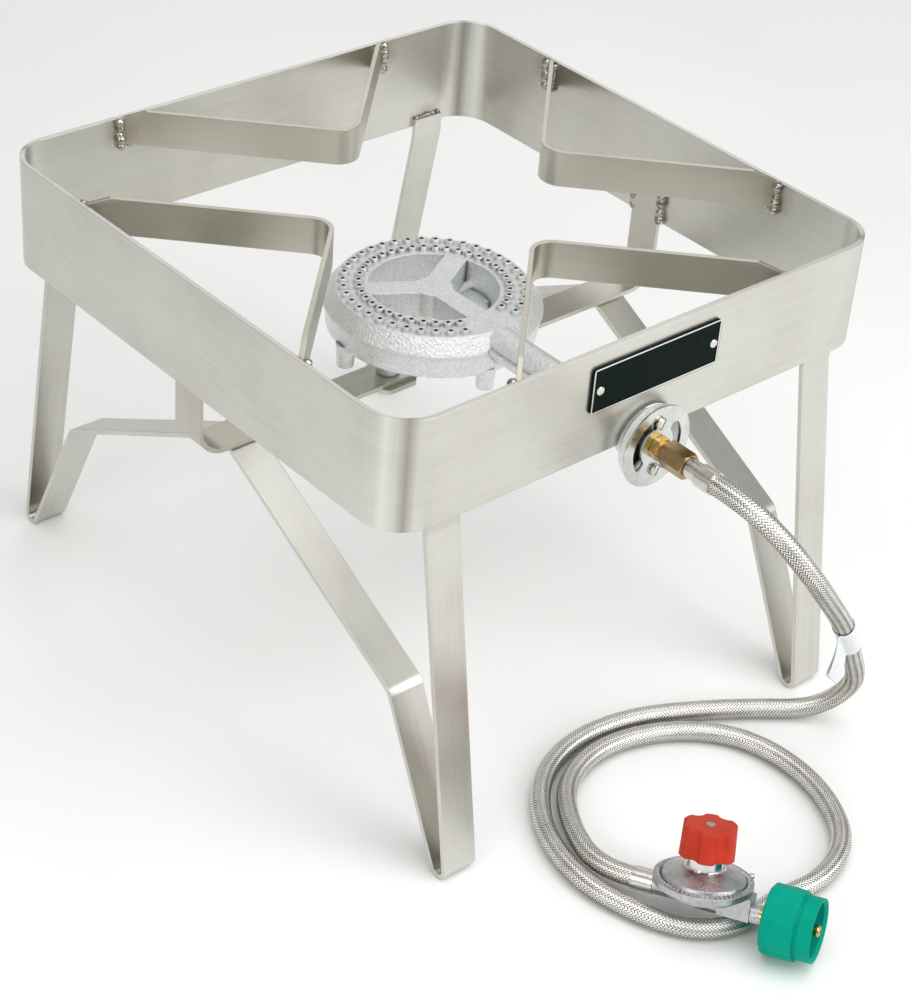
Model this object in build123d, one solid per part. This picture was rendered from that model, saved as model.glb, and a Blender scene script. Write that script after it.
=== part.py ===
from build123d import *
import math
import os

# Outdoor propane stove on four legs, with its braided hose and dial regulator.
# Millimetres, +Z up. The origin is on the floor under the middle of the square frame.
# The gas inlet and the name plate are at the front, towards -Y.

# Flat bar stock
bar_width = 25.4
bar_thickness = 3.2

# Square frame band
frame_side = 406.4
frame_height = 329.0
band_height = 76.2
band_corner_radius = 29.5
band_bottom = frame_height - band_height
band_inner_half = frame_side / 2 - bar_thickness

# V shaped pot supports
support_rise = 6.3
support_apex_reach = 88.5
support_bend_radius = 14.4
support_clip_length = 16.0
support_top = frame_height + support_rise

# Leg bars
leg_offset = 160.9
leg_lap = 6.0
leg_kink_drop = 8.8
leg_kink_radius = 12.0
foot_centre_spread = 233.5
foot_bend_radius = 5.6
knee_spread = 176.5
knee_height = 112.0
knee_radius = 10.0
peak_half_width = 7.5
peak_radius = 10.0

# Burner bracket
bracket_drop = 124.0
bracket_top = frame_height - bracket_drop
bracket_bend_radius = 19.4
bracket_tab_height = 79.0

# Burner casting
burner_axis_rise = 43.5
burner_axis_height = bracket_top + burner_axis_rise
burner_rise = 10.2
burner_top = burner_axis_height + burner_rise
burner_fall = 17.0
burner_bottom = burner_axis_height - burner_fall
burner_top_radius = 66.0
burner_waist_radius = 74.0
burner_bottom_radius = 71.5
burner_inner_radius = 44.0
burner_wall = 4.2
burner_ledge = 1.3
spoke_angles = (-90, 30, 150)
spoke_width = 16.0
spoke_depth = 17.0
hub_radius = 13.0

# Burner ports
port_row_radii = (61.0, 50.5)
ports_per_row = 36
port_gap_angle = 42.0
port_height = 2.6
port_base_radius = 3.4
port_top_radius = 2.7
port_hole_radius = 1.5

# Burner lugs, pegs and fasteners
lug_spread = 36.0
lug_half_width = 10.0
lug_thickness = 7.0
boss_radius = 8.0
peg_places = ((-67, 8), (67, 8), (-8, -65))
peg_length = 14.5
peg_bottom = burner_bottom - peg_length
peg_top_radius = 6.8
peg_bottom_radius = 5.8
bolt_radius = 3.2
bolt_head_across = 11.0
bolt_head_height = 4.4
bolt_reach = 17.0
clamp_length = 31.75
clamp_width = 33.4
clamp_corner = 5.0

# Mixing tube and bell, as distances towards the front from the burner centre
tube_radius = 11.5
tube_bore_radius = 8.5
tube_start = 66.0
tube_end = 150.0
bell_start = 206.0
bell_front = 212.0
bell_radius = 25.5
bell_mouth_radius = 21.5
fin_half_width = 14.0
fin_thickness = 3.0
fin_end = 170.0
notch_radius = 24.5
spider_width = 9.0
spider_depth = 6.0
spider_hub_radius = 8.5
screw_lug_radius = 5.5
web_depth = 3.0
web_angle = 50.0

# Air shutter
shutter_radius = 28.0
shutter_thickness = 1.5
shutter_gap = 0.3
screw_circle_radius = 17.0
slot_width = 7.0
slot_angle = 125.0
screw_radius = 2.0
screw_head_radius = 4.2
screw_head_height = 2.6
screw_reach = 9.0
screw_slot_width = 1.0
screw_slot_depth = 1.3
screw_slot_turn = 60.0

# Gas fittings on the mixing tube axis
orifice_shank_radius = 5.0
orifice_shank_back = 206.0
orifice_hex_across = 14.0
orifice_hex_end = 219.5
orifice_neck_radius = 6.5
orifice_neck_end = 227.0
orifice_bore_radius = 2.4
orifice_jet_radius = 0.8
swivel_start = 222.5
swivel_end = 242.0
swivel_across = 16.0
swivel_wall = 5.5
swivel_crown = 1.4
stem_radius = 5.0
stem_nose_radius = 6.5
ferrule_collar_radius = 6.5
ferrule_collar_end = 252.0
ferrule_radius = 7.7
ferrule_end = 264.0

# Braided hose
hose_radius = 6.75
hose_bore_radius = 5.0
hose_floor_gap = 0.3
hose_arc_share = 0.45
hose_first_run = 28.0
hose_last_run = 25.0
hose_rise = 4.0

# Hose tag
tag_corner = 6
tag_corner_share = 0.1
tag_length = 45.0
tag_gap = 0.8
tag_thickness = 0.4
tag_tail_length = 34.0
tag_tail_width = 16.0

# Regulator place
regulator_spot = (-66.9, -359.1, 17.3)
regulator_heading = -65.2
regulator_pitch = 6.5
regulator_roll = 17.5

# Regulator body, with levels along its own upright axis from the inlet axis
body_bottom = -4.0
body_bottom_radius = 5.0
body_bottom_edge = 2.0
body_boss_radius = 7.0
body_boss_root = 9.0
body_dish_radius = 25.5
body_cone_radius = 29.0
body_rim_radius = 31.3
body_rim_bottom = 11.0
body_rim_thickness = 4.0
body_rim_top = body_rim_bottom + body_rim_thickness
lip_thickness = 0.8
lip_bottom = body_rim_top - lip_thickness
lip_radius = 27.2
diaphragm_rise = 1.0
diaphragm_seat = body_rim_bottom + diaphragm_rise
diaphragm_thickness = 0.8
diaphragm_radius = 28.3
chamber_depth = 2.5
chamber_floor = diaphragm_seat - chamber_depth
chamber_radius = 23.0
seat_thickness = 3.0
seat_bottom = chamber_floor - seat_thickness
inlet_room_radius = 4.8
inlet_room_floor = -2.2
gas_bore_radius = 2.2
vent_angle = 45.0
vent_radius = 1.7
vent_reach = 35.0

# Regulator bonnet
bonnet_radius = 26.9
bonnet_shoulder_radius = 25.8
bonnet_shoulder_rise = 2.2
bonnet_shoulder = body_rim_top + bonnet_shoulder_rise
bonnet_cone_rise = 5.3
bonnet_neck_bottom = bonnet_shoulder + bonnet_cone_rise
bonnet_neck_length = 11.5
bonnet_neck_top = bonnet_neck_bottom + bonnet_neck_length
bonnet_neck_radius = 12.2
bonnet_neck_root = 1.0
neck_roof = 7.0
spring_room_radius = 9.3
spring_room_top = bonnet_neck_top - neck_roof
plate_room_radius = 21.0
plate_room_rise = 0.4
plate_room_top = body_rim_top + plate_room_rise

# Regulator valve, spring and screw
valve_plate_radius = 12.0
valve_plate_thickness = 1.2
valve_stem_radius = 1.8
valve_hole_radius = 2.5
poppet_radius = 3.6
poppet_thickness = 2.1
spring_outer_radius = 7.8
spring_inner_radius = 6.0
button_radius = 8.6
button_thickness = 2.5
button_headroom = 0.5
button_bottom = spring_room_top - button_headroom - button_thickness
adjusting_screw_radius = 3.0
adjusting_screw_stand = 0.4

# Control knob
knob_gap = 8.5
knob_bottom = bonnet_neck_bottom + knob_gap
knob_height = 19.4
knob_top = knob_bottom + knob_height
knob_radius = 18.2
knob_lobes = 6
knob_lobe_turn = -15.0
knob_groove_radius = 5.5
knob_groove_reach = 20.7
knob_draft = 2.0
knob_room_gap = 0.4
knob_room_rise = 5.0
knob_room_top = bonnet_neck_top + knob_room_rise
knob_edge = 1.2

# Regulator inlet, outlet and coupling, as distances along the inlet axis
inlet_boss_radius = 6.0
inlet_boss_end = 39.0
inlet_block_start = 12.0
inlet_block_end = 33.0
inlet_block_width = 13.0
inlet_block_bottom = -4.0
nipple_thread_radius = 4.0
nipple_thread_start = 29.0
nipple_shoulder_radius = 9.0
nipple_shoulder_thickness = 3.0
nipple_hex_across = 11.0
nipple_hex_end = 69.5
nipple_tip_radius = 3.6
nipple_end = 76.5
nipple_bore_radius = 1.6
nut_back = 43.5
nut_wall = 4.0
nut_face = 75.5
nut_grip_radius = 22.5
nut_grip_end = 64.5
nut_collar_radius = 19.9
nut_collar_end = 66.5
nut_rim_radius = 20.3
nut_room_radius = 17.6
nut_mouth_radius = 19.2
nut_mouth_depth = 2.0
nut_sides = 12
nut_flutes = 4
nut_flute_angle = 38.4
nut_flute_reach = 24.5
nut_flute_radius = 3.5
outlet_boss_radius = 7.0
outlet_boss_end = 30.5
outlet_level = 3.0
outlet_port_spread = 12.0
spigot_radius = 4.0
spigot_length = 8.0
outlet_ferrule_length = 14.0

# Name plate
plate_length = 108.0
plate_height = 31.75
plate_thickness = 2.0
plate_corner = 3.0
plate_drop = 27.3
plate_centre_height = frame_height - plate_drop
rivet_spread = 48.0
rivet_radius = 1.6
rivet_head_radius = 3.0
rivet_head_height = 1.3
rivet_head_round = 1.0

# Clearances
fit_gap = 0.03
run_gap = 0.05
flat_gap = 0.1
end_gap = 0.3

hose_floor_height = hose_radius + hose_floor_gap
inlet_place = Plane((0, 0, burner_axis_height), x_dir=(1, 0, 0), z_dir=(0, -1, 0)).location
regulator_place = (
    Pos(*regulator_spot)
    * Rot(0, 0, regulator_heading)
    * Rot(0, -regulator_pitch, 0)
    * Rot(-regulator_roll, 0, 0)
)
along_inlet = Rot(0, 90, 0)
outlet_place = regulator_place * Pos(0, 0, outlet_level) * Rot(0, -90, 0)


def turned(points):
    """A solid of revolution about Z from (radius, height) points."""
    return revolve(make_face(Plane.XZ * Polyline(*points, close=True)), Axis.Z)


def rod(radius, start, end):
    """An upright cylinder on the Z axis between two heights."""
    return Pos(0, 0, start) * extrude(Circle(radius), end - start)


def hex_rod(across, start, end):
    """An upright hexagon bar on the Z axis between two heights."""
    return Pos(0, 0, start) * extrude(RegularPolygon(across / 2, 6, major_radius=False), end - start)


def flat_bar(path, width_direction):
    """Flat bar stock bent along a path."""
    section = Plane(path @ 0, x_dir=width_direction, z_dir=path % 0) * Rectangle(bar_width, bar_thickness)
    return sweep(section, path)


def front_holes(spread, height, radius):
    """Two cutters through the front band, left and right of its middle."""
    depth = 4 * bar_thickness
    cutters = []
    for side in (-1, 1):
        spot = Plane((side * spread, depth / 2 - frame_side / 2, height), z_dir=(0, -1, 0))
        cutters.append(extrude(spot * Circle(radius), depth))
    return cutters


def frame_band():
    """Square band with round corners, notched for the mixing tube."""
    outside = RectangleRounded(frame_side, frame_side, band_corner_radius)
    inside_side = 2 * band_inner_half
    inside = RectangleRounded(inside_side, inside_side, band_corner_radius - bar_thickness)
    band = Pos(0, 0, band_bottom) * extrude(outside - inside, band_height)
    notch = inlet_place * rod(notch_radius, band_inner_half / 2, frame_side)
    return band - notch - front_holes(rivet_spread, plate_centre_height, rivet_radius + fit_gap)


def pot_support():
    """The front V bar, cut to lie on the inside of the band, with clipped top corners."""
    mid_height = support_top - bar_width / 2
    overrun = frame_side / 2 - support_apex_reach
    corners = [
        (-overrun, -frame_side / 2, mid_height),
        (0, -support_apex_reach, mid_height),
        (overrun, -frame_side / 2, mid_height),
    ]
    bar = flat_bar(FilletPolyline(*corners, radius=support_bend_radius), (0, 0, 1))
    inside_side = 2 * band_inner_half
    bar = bar & Pos(0, 0, mid_height) * Box(inside_side, inside_side, 2 * bar_width)
    end_x = band_inner_half - support_apex_reach
    for side in (-1, 1):
        corner = Plane((side * end_x, -band_inner_half, support_top), x_dir=(-side, 1, 0), z_dir=(1, side, 0))
        reach = 2 * bar_thickness
        clip = Polyline(
            (support_clip_length, 0), (-reach, 0), (-reach, -support_rise), (0, -support_rise), close=True
        )
        bar = bar - extrude(corner * make_face(clip), 2 * bar_thickness, both=True)
    return bar


def tangent_line(start, centre, radius, turn):
    """Direction of the line from a point that touches a circle, passing it on the chosen side."""
    away = (centre[0] - start[0], centre[1] - start[1])
    angle = math.atan2(away[1], away[0]) + turn * math.asin(radius / math.hypot(*away))
    return (math.cos(angle), math.sin(angle))


def crossing(first, first_way, second, second_way):
    """Point where two lines in a plane cross."""
    gap = (second[0] - first[0], second[1] - first[1])
    area = first_way[0] * second_way[1] - first_way[1] * second_way[0]
    share = (gap[0] * second_way[1] - gap[1] * second_way[0]) / area
    return (first[0] + share * first_way[0], first[1] + share * first_way[1])


def leg_bar(side):
    """One bar bent into two legs with rounded feet, and a peak under the burner bracket."""
    leg_y = bar_thickness / 2 - band_inner_half
    top = (leg_y, band_bottom + leg_lap)
    kink = (leg_y, band_bottom - leg_kink_drop)
    knee = (-knee_spread, knee_height)
    peak = (-peak_half_width, bracket_top - 1.5 * bar_thickness)
    foot_centre = (-foot_centre_spread, foot_bend_radius + bar_thickness / 2)
    outer_way = tangent_line(kink, foot_centre, foot_bend_radius, -1)
    inner_way = tangent_line(knee, foot_centre, foot_bend_radius, 1)
    foot = crossing(kink, outer_way, knee, inner_way)
    half = [top, kink, foot, knee, peak]
    profile = half + [(-y, z) for y, z in reversed(half)]
    bends = [leg_kink_radius, foot_bend_radius, knee_radius, peak_radius]
    corners = [(side * leg_offset, y, z) for y, z in profile]
    path = FilletPolyline(*corners, radius=bends + bends[::-1])
    return flat_bar(path, (1, 0, 0))


def bolt_holes(part_height):
    """Cutters for the two burner bolts."""
    return [Pos(side * lug_spread, 0, 0) * rod(bolt_radius + fit_gap, 0, part_height) for side in (-1, 1)]


def burner_bracket():
    """U bar that carries the burner, with its tabs on the inside of the band."""
    mid_height = bracket_top - bar_thickness / 2
    tab_x = band_inner_half - bar_thickness / 2
    tab_top = bracket_top + bracket_tab_height
    corners = [(-tab_x, 0, tab_top), (-tab_x, 0, mid_height), (tab_x, 0, mid_height), (tab_x, 0, tab_top)]
    bar = flat_bar(FilletPolyline(*corners, radius=bracket_bend_radius), (0, 1, 0))
    return bar - bolt_holes(bracket_top)


def burner_clamp_plates():
    """Two plates with clipped corners under the bracket."""
    bottom = bracket_top - 2 * bar_thickness
    blank = chamfer(Rectangle(clamp_length, clamp_width).vertices(), clamp_corner)
    plates = [Pos(side * lug_spread, 0, bottom) * extrude(blank, bar_thickness) for side in (-1, 1)]
    return Compound(children=[plate - bolt_holes(bracket_top) for plate in plates])


def burner_bolts():
    """Two hexagon bolts up through the plates and the bracket into the burner."""
    seat = bracket_top - 2 * bar_thickness
    bolt = hex_rod(bolt_head_across, seat - bolt_head_height, seat)
    bolt += rod(bolt_radius, seat - bolt_head_height, bracket_top + bolt_reach)
    return Compound(children=[Pos(side * lug_spread, 0, 0) * bolt for side in (-1, 1)])


def burner_ring():
    """Ring with a gas chamber, three spokes, two bolt bosses and three pegs."""
    ring = turned([
        (burner_inner_radius, burner_bottom),
        (burner_bottom_radius, burner_bottom),
        (burner_waist_radius - burner_ledge, burner_axis_height - fin_thickness / 2),
        (burner_waist_radius, burner_axis_height - fin_thickness / 2),
        (burner_waist_radius, burner_axis_height),
        (burner_top_radius, burner_top),
        (burner_inner_radius, burner_top),
    ])
    for angle in spoke_angles:
        spoke = Pos(burner_inner_radius / 2, 0, burner_top - spoke_depth / 2)
        ring += Rot(0, 0, angle) * spoke * Box(burner_inner_radius + burner_wall, spoke_width, spoke_depth)
    ring += rod(hub_radius, burner_top - spoke_depth, burner_top)
    for side in (-1, 1):
        lug_x = side * (lug_spread + burner_inner_radius + burner_wall) / 2
        lug_length = burner_inner_radius + burner_wall - lug_spread
        lug_top = burner_bottom + lug_thickness
        lug = Box(lug_length, 2 * lug_half_width, lug_thickness)
        bolt_place = Pos(side * lug_spread, 0, 0)
        ring += Pos(lug_x, 0, burner_bottom + lug_thickness / 2) * lug
        ring += bolt_place * rod(lug_half_width, burner_bottom, lug_top)
        ring += bolt_place * rod(boss_radius, bracket_top, burner_bottom)
    peg_root = burner_bottom + burner_wall / 2
    peg = turned([
        (0, peg_bottom),
        (peg_bottom_radius, peg_bottom),
        (peg_top_radius, peg_root),
        (0, peg_root),
    ])
    for x, y in peg_places:
        ring += Pos(x, y, 0) * peg
    inner = burner_inner_radius + burner_wall
    chamber = turned([
        (inner, burner_bottom + burner_wall),
        (burner_bottom_radius - burner_wall, burner_bottom + burner_wall),
        (burner_bottom_radius - burner_wall, burner_axis_height),
        (burner_top_radius - burner_wall / 2, burner_top - burner_wall),
        (inner, burner_top - burner_wall),
    ])
    return ring - chamber - bolt_holes(bracket_top + bolt_reach + end_gap)


def burner_ports():
    """Raised ports in two rows, left out over the mixing tube, and the cutters for their holes."""
    nubs = []
    holes = []
    step = (360 - port_gap_angle) / (ports_per_row - 1)
    nub = turned([
        (0, burner_top),
        (port_base_radius, burner_top),
        (port_top_radius, burner_top + port_height),
        (0, burner_top + port_height),
    ])
    hole = rod(port_hole_radius, burner_top - burner_wall - flat_gap, burner_top + port_height)
    for row_radius in port_row_radii:
        for index in range(ports_per_row):
            place = Rot(0, 0, port_gap_angle / 2 - 90 + index * step) * Pos(row_radius, 0, 0)
            nubs.append(place * nub)
            holes.append(place * hole)
    return nubs, holes


def flare(start_radius, start, end_radius, end):
    """Bell curve from the tube out to the rim."""
    return Spline((start_radius, 0, start), (end_radius, 0, end), tangents=[(0, 0, 1), (1, 0, 0.75)])


def mixing_tube():
    """Outside of the tube and bell, and the cutter for its bore, along Z from the burner centre."""
    outer_flare = flare(tube_radius, tube_end, bell_radius, bell_start)
    outside = revolve(make_face([
        Line((0, 0, tube_start), (tube_radius, 0, tube_start)),
        Line((tube_radius, 0, tube_start), outer_flare @ 0),
        outer_flare,
        Polyline(outer_flare @ 1, (bell_radius, 0, bell_front), (0, 0, bell_front), (0, 0, tube_start)),
    ]), Axis.Z)
    inner_flare = flare(tube_bore_radius, tube_end, bell_mouth_radius, bell_front)
    bore_start = burner_inner_radius + burner_wall + flat_gap
    bore = revolve(make_face([
        Polyline(inner_flare @ 0, (tube_bore_radius, 0, bore_start), (0, 0, bore_start), (0, 0, bell_front)),
        Line((0, 0, bell_front), inner_flare @ 1),
        inner_flare,
    ]), Axis.Z)
    return outside, bore


def bell_spider():
    """Bar, screw lugs and two webs across the mouth of the bell."""
    back = bell_front - spider_depth
    length = bell_radius + bell_mouth_radius
    spider = Pos(0, 0, back + spider_depth / 2) * Box(spider_width, length, spider_depth)
    spider += rod(spider_hub_radius, back, bell_front)
    web_radius = (bell_radius + bell_mouth_radius) / 2
    for angle in (90, 270):
        lug = Rot(0, 0, angle) * Pos(screw_circle_radius, 0, 0)
        spider += lug * rod(screw_lug_radius, bell_front - screw_reach, bell_front)
        wedge_reach = 2 * web_radius
        turn = math.radians(web_angle)
        wedge = Polyline(
            (0, 0), (wedge_reach, 0), (wedge_reach * math.cos(turn), wedge_reach * math.sin(turn)), close=True
        )
        web = make_face(wedge) & Circle(web_radius)
        spider += Rot(0, 0, angle - web_angle) * Pos(0, 0, bell_front - web_depth) * extrude(web, web_depth)
    return spider & rod(web_radius, tube_end, bell_front)


def screw_places():
    """Where the two shutter screws stand, above and below the axis."""
    return [Pos(0, side * screw_circle_radius, 0) for side in (1, -1)]


def burner():
    """One casting: ring, ports, mixing tube with side fins, and bell."""
    outside, bore = mixing_tube()
    nubs, holes = burner_ports()
    fin_length = fin_end - tube_start
    fins = Pos(0, 0, (fin_end + tube_start) / 2) * Box(2 * fin_half_width, fin_thickness, fin_length)
    casting = burner_ring() + nubs
    casting += inlet_place * (outside + fins)
    casting = casting - inlet_place * bore - holes
    casting += inlet_place * bell_spider()
    casting -= inlet_place * rod(orifice_shank_radius + fit_gap, tube_end, bell_front)
    for place in screw_places():
        casting -= inlet_place * place * rod(screw_radius + fit_gap, tube_end, bell_front)
    return casting


def air_shutter():
    """Disc with two curved slots that turns on the orifice fitting."""
    disc = Circle(shutter_radius) - Circle(orifice_shank_radius + run_gap)
    for start in (90, 270):
        disc -= SlotArc(CenterArc((0, 0), screw_circle_radius, start, slot_angle), slot_width)
    return inlet_place * Pos(0, 0, bell_front + shutter_gap) * extrude(disc, shutter_thickness)


def shutter_screws():
    """Two slotted pan head screws that hold the shutter."""
    seat = bell_front + shutter_thickness + 2 * shutter_gap
    head_top = seat + screw_head_height
    head = fillet(rod(screw_head_radius, seat, head_top).edges().group_by(Axis.Z)[-1], screw_head_height / 2)
    driver = Box(3 * screw_head_radius, screw_slot_width, screw_slot_depth)
    screw = head + rod(screw_radius, bell_front - screw_reach + end_gap, seat)
    screw -= Pos(0, 0, head_top - screw_slot_depth / 2) * Rot(0, 0, screw_slot_turn) * driver
    return Compound(children=[inlet_place * place * screw for place in screw_places()])


def orifice_fitting():
    """Brass jet that screws into the bell and takes the hose."""
    hex_start = bell_front + shutter_thickness + 2 * shutter_gap
    fitting = rod(orifice_shank_radius, orifice_shank_back, hex_start)
    fitting += hex_rod(orifice_hex_across, hex_start, orifice_hex_end)
    fitting += rod(orifice_neck_radius, orifice_hex_end, orifice_neck_end)
    fitting -= rod(orifice_bore_radius, hex_start, orifice_neck_end)
    return inlet_place * (fitting - rod(orifice_jet_radius, orifice_shank_back, hex_start))


def hose_swivel_nut():
    """Brass hexagon nut that pulls the hose stem onto the orifice fitting."""
    nut = hex_rod(swivel_across, swivel_start, swivel_end)
    crown_radius = swivel_across / 2
    nut = nut & turned([
        (0, swivel_start),
        (crown_radius, swivel_start),
        (crown_radius + swivel_crown, swivel_start + swivel_crown),
        (crown_radius + swivel_crown, swivel_end - swivel_crown),
        (crown_radius, swivel_end),
        (0, swivel_end),
    ])
    nut -= rod(orifice_neck_radius + fit_gap, swivel_start, swivel_end - swivel_wall)
    return inlet_place * (nut - rod(stem_radius + fit_gap, swivel_start, swivel_end))


def burner_hose_ferrule():
    """Nickel hose end: nose inside the nut, stem, collar and crimped sleeve."""
    nose_start = orifice_neck_end + flat_gap
    ferrule = rod(stem_nose_radius, nose_start, swivel_end - swivel_wall - flat_gap)
    ferrule += rod(stem_radius, nose_start, swivel_end + end_gap)
    ferrule += rod(ferrule_collar_radius, swivel_end + end_gap, ferrule_collar_end)
    ferrule += rod(ferrule_radius, ferrule_collar_end, ferrule_end)
    return inlet_place * (ferrule - rod(orifice_bore_radius, nose_start, ferrule_end))


def hose_route():
    """Corner points of the hose from the burner to the regulator, with the hang as shares of its height."""
    floor_z = hose_floor_height
    axis_z = burner_axis_height
    outlet_end = outlet_boss_end + outlet_ferrule_length
    before_end = (outlet_place * Pos(0, 0, outlet_end + hose_last_run)).position
    end = (outlet_place * Pos(0, 0, outlet_end)).position
    leaving = [(0, -ferrule_end, axis_z), (0, -ferrule_end - hose_first_run, axis_z)]
    hanging = [
        (6, -319, 0.946),
        (19, -333, 0.857),
        (39, -333, 0.753),
        (65, -325, 0.636),
        (94, -314, 0.495),
        (119, -303, 0.354),
        (138, -295, 0.249),
        (149, -289, 0.165),
        (147, -278, 0.08),
    ]
    lying = [
        (133, -264),
        (106, -243),
        (67, -218),
        (25, -198),
        (-22, -193),
        (-65, -209),
        (-96, -246),
        (-108, -293),
        (-99, -336),
        (-82, -369),
        (-53, -383),
        (-21, -381),
        (20, -387),
        (59, -370),
        (81, -329),
        (84, -285),
        (70, -248),
        (34, -220),
        (-12, -209),
        (-54, -222),
    ]
    rising = (-82, -257, floor_z + hose_rise)
    points = leaving + [(x, y, share * axis_z) for x, y, share in hanging]
    points += [(x, y, floor_z) for x, y in lying] + [rising]
    return [Vector(*point) for point in points] + [before_end, end]


def route_radii(route):
    """Bend radius at each inner corner of a route, from the shorter run beside it."""
    radii = []
    for before, corner, after in zip(route, route[1:], route[2:]):
        run_in = corner - before
        run_out = after - corner
        half_turn = math.radians(run_in.get_angle(run_out)) / 2
        radii.append(hose_arc_share * min(run_in.length, run_out.length) / math.tan(half_turn))
    return radii


def braided_hose():
    """Hose as a tube of straight runs and arcs from ferrule to ferrule."""
    route = hose_route()
    radii = route_radii(route)
    path = FilletPolyline(*route, radius=radii)
    section = Plane(path @ 0, z_dir=path % 0) * (Circle(hose_radius) - Circle(hose_bore_radius))
    hose = sweep(section, path)
    share = hose.volume / (section.area * path.length)
    print("hose length", round(path.length, 1), "volume over section times length", round(share, 4))
    print("hose bend radii", [round(radius) for radius in radii])
    return hose


def hose_tag():
    """Blank tag wrapped round the hose, with a tail that hangs down."""
    before, corner, after = hose_route()[tag_corner - 1:tag_corner + 2]
    run = after - before
    middle = corner + (before + after - corner * 2) * tag_corner_share
    up = Vector(0, 0, 1)
    place = Plane(middle, x_dir=run.cross(up), z_dir=run).location
    inner = hose_radius + tag_gap
    half = tag_length / 2
    wrap = rod(inner + tag_thickness, -half, half) - rod(inner, -half, half)
    hang = Pos(0, inner, 0) * Rot(-run.get_angle(-up), 0, 0)
    tail = Box(tag_tail_width, tag_thickness, tag_tail_length)
    tail = hang * Pos(0, tag_thickness / 2, tag_tail_length / 2) * tail
    return place * (wrap + (tail - rod(inner, -tag_tail_length, tag_tail_length)))


def regulator_hose_ferrule():
    """Crimped hose end with a spigot into the regulator outlet."""
    ferrule = rod(ferrule_radius, outlet_boss_end, outlet_boss_end + outlet_ferrule_length)
    ferrule += rod(spigot_radius, outlet_boss_end - spigot_length, outlet_boss_end)
    ferrule -= rod(gas_bore_radius, 0, outlet_boss_end + outlet_ferrule_length)
    return outlet_place * ferrule


def regulator_body():
    """Cast lower half with the valve seat, the inlet and outlet bosses and the rolled rim."""
    body = turned([
        (0, body_bottom),
        (body_bottom_radius, body_bottom),
        (body_boss_radius, body_bottom + body_bottom_edge),
        (body_boss_root, seat_bottom),
        (body_dish_radius, seat_bottom),
        (body_cone_radius, body_rim_bottom),
        (body_rim_radius, body_rim_bottom),
        (body_rim_radius, body_rim_top),
        (0, body_rim_top),
    ])
    body += along_inlet * rod(inlet_boss_radius, 0, inlet_boss_end)
    block_length = inlet_block_end - inlet_block_start
    block = Box(block_length, inlet_block_width, body_rim_bottom - inlet_block_bottom)
    body += Pos(inlet_block_start + block_length / 2, 0, (body_rim_bottom + inlet_block_bottom) / 2) * block
    vent_place = Rot(0, 0, vent_angle) * Pos(0, 0, (body_rim_bottom + body_rim_top) / 2)
    body += vent_place * along_inlet * rod(vent_radius, body_cone_radius, vent_reach)
    outlet = Pos(0, 0, outlet_level) * Rot(0, -90, 0)
    body += outlet * rod(outlet_boss_radius, 0, outlet_boss_end)
    body -= rod(lip_radius, lip_bottom - flat_gap, body_rim_top)
    body -= rod(diaphragm_radius + run_gap, diaphragm_seat, lip_bottom)
    body -= rod(chamber_radius, chamber_floor, diaphragm_seat)
    body -= rod(inlet_room_radius, inlet_room_floor, seat_bottom)
    body -= rod(valve_hole_radius, seat_bottom, chamber_floor)
    body -= along_inlet * rod(gas_bore_radius, 0, inlet_boss_end)
    body -= along_inlet * rod(nipple_thread_radius + fit_gap, nipple_thread_start, inlet_boss_end)
    body -= outlet * rod(gas_bore_radius, outlet_port_spread, outlet_boss_end)
    spigot_end = outlet_boss_end - spigot_length - end_gap
    body -= outlet * rod(spigot_radius + fit_gap, spigot_end, outlet_boss_end)
    body -= Pos(-outlet_port_spread, 0, 0) * rod(gas_bore_radius, outlet_level, chamber_floor)
    return regulator_place * body


def regulator_bonnet():
    """Cast upper half with the spring room and the threaded neck."""
    flange_bottom = diaphragm_seat + diaphragm_thickness + flat_gap
    flange_top = lip_bottom - 2 * flat_gap
    bonnet = turned([
        (0, flange_bottom),
        (diaphragm_radius - flat_gap, flange_bottom),
        (diaphragm_radius - flat_gap, flange_top),
        (bonnet_radius, flange_top),
        (bonnet_shoulder_radius, bonnet_shoulder),
        (bonnet_neck_radius + bonnet_neck_root, bonnet_neck_bottom),
        (bonnet_neck_radius, bonnet_neck_bottom + bonnet_neck_root),
        (bonnet_neck_radius, bonnet_neck_top),
        (0, bonnet_neck_top),
    ])
    bonnet -= rod(plate_room_radius, flange_bottom, plate_room_top)
    bonnet -= rod(spring_room_radius, flange_bottom, spring_room_top)
    bonnet -= rod(adjusting_screw_radius + run_gap, spring_room_top, bonnet_neck_top)
    return regulator_place * bonnet


def diaphragm():
    """Rubber disc clamped between the body and the bonnet."""
    disc = rod(diaphragm_radius, diaphragm_seat, diaphragm_seat + diaphragm_thickness)
    return regulator_place * (disc - rod(valve_stem_radius + end_gap, diaphragm_seat, body_rim_top))


def valve_stem():
    """Plate on the diaphragm, stem through the seat and poppet below it."""
    plate_bottom = diaphragm_seat + diaphragm_thickness + flat_gap
    poppet_top = seat_bottom - flat_gap
    valve = rod(valve_plate_radius, plate_bottom, plate_bottom + valve_plate_thickness)
    valve += rod(valve_stem_radius, poppet_top, plate_bottom)
    return regulator_place * (valve + rod(poppet_radius, poppet_top - poppet_thickness, poppet_top))


def adjusting_spring():
    """Spring between the diaphragm plate and the button, as the sleeve that it fills."""
    bottom = diaphragm_seat + diaphragm_thickness + valve_plate_thickness + 2 * flat_gap
    top = button_bottom - flat_gap
    return regulator_place * (rod(spring_outer_radius, bottom, top) - rod(spring_inner_radius, bottom, top))


def spring_button():
    """Disc that the adjusting screw presses onto the spring."""
    return regulator_place * rod(button_radius, button_bottom, button_bottom + button_thickness)


def adjusting_screw():
    """Screw fixed in the knob, seen as a bright pin in the top of it."""
    bottom = button_bottom + button_thickness
    return regulator_place * rod(adjusting_screw_radius, bottom, knob_top + adjusting_screw_stand)


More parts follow.
